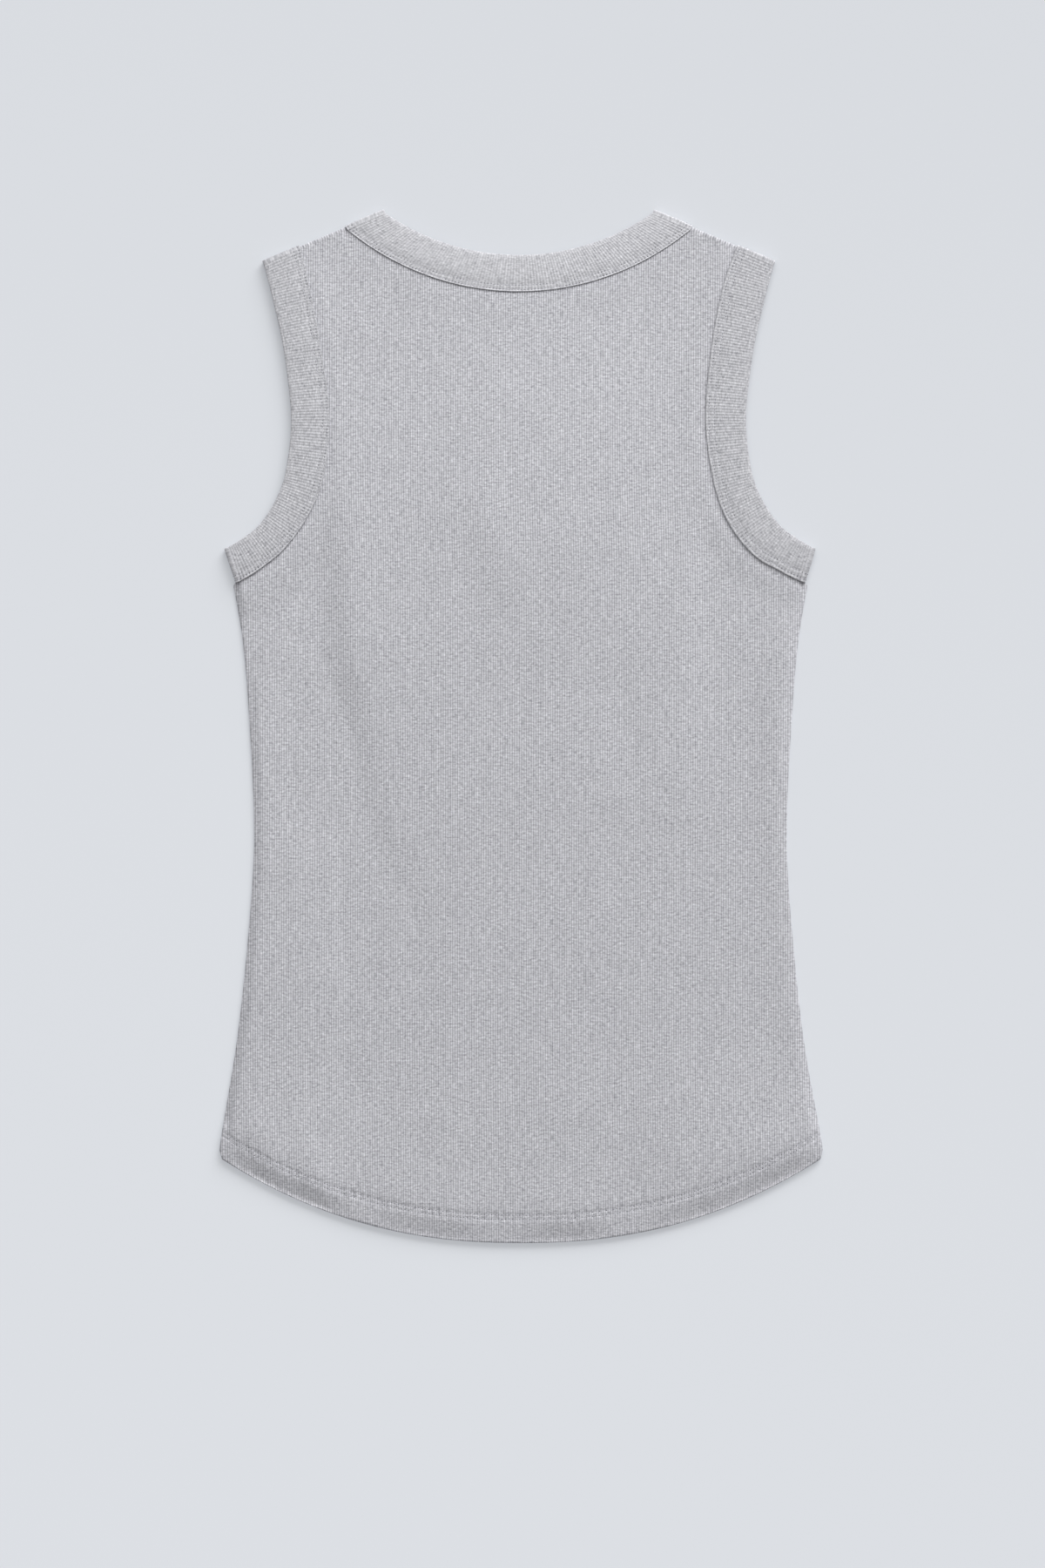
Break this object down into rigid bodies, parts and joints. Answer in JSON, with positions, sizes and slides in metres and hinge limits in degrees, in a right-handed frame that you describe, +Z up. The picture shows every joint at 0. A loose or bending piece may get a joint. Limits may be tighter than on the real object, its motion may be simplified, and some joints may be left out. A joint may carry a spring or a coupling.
{
  "type": "tank top",
  "caption": "Fitted sleeveless rib-knit tank top laid out flat, back up, with wrapped rib bindings at neck and armholes and a curved, turned-up shirt-tail hem.",
  "frame": {"origin": "middle of the outline, on the surface that the top lies on", "axes": "+Y towards the neck, +Z up from the surface through the front and then the back, +X to the wearer's right (to the right as seen from above, back side up)"},
  "size_m": [0.3809, 0.6516, 0.0073],
  "materials": {
    "body_rib": "matte heather grey cotton-blend rib knit",
    "binding_rib": "matte heather grey rib binding, ribs across the band"
  },
  "bodies": {
    "root": {"back_panel": "body_rib", "front_panel": "body_rib", "neckband": "binding_rib", "armband_left": "binding_rib", "armband_right": "binding_rib"}
  },
  "joints": []
}
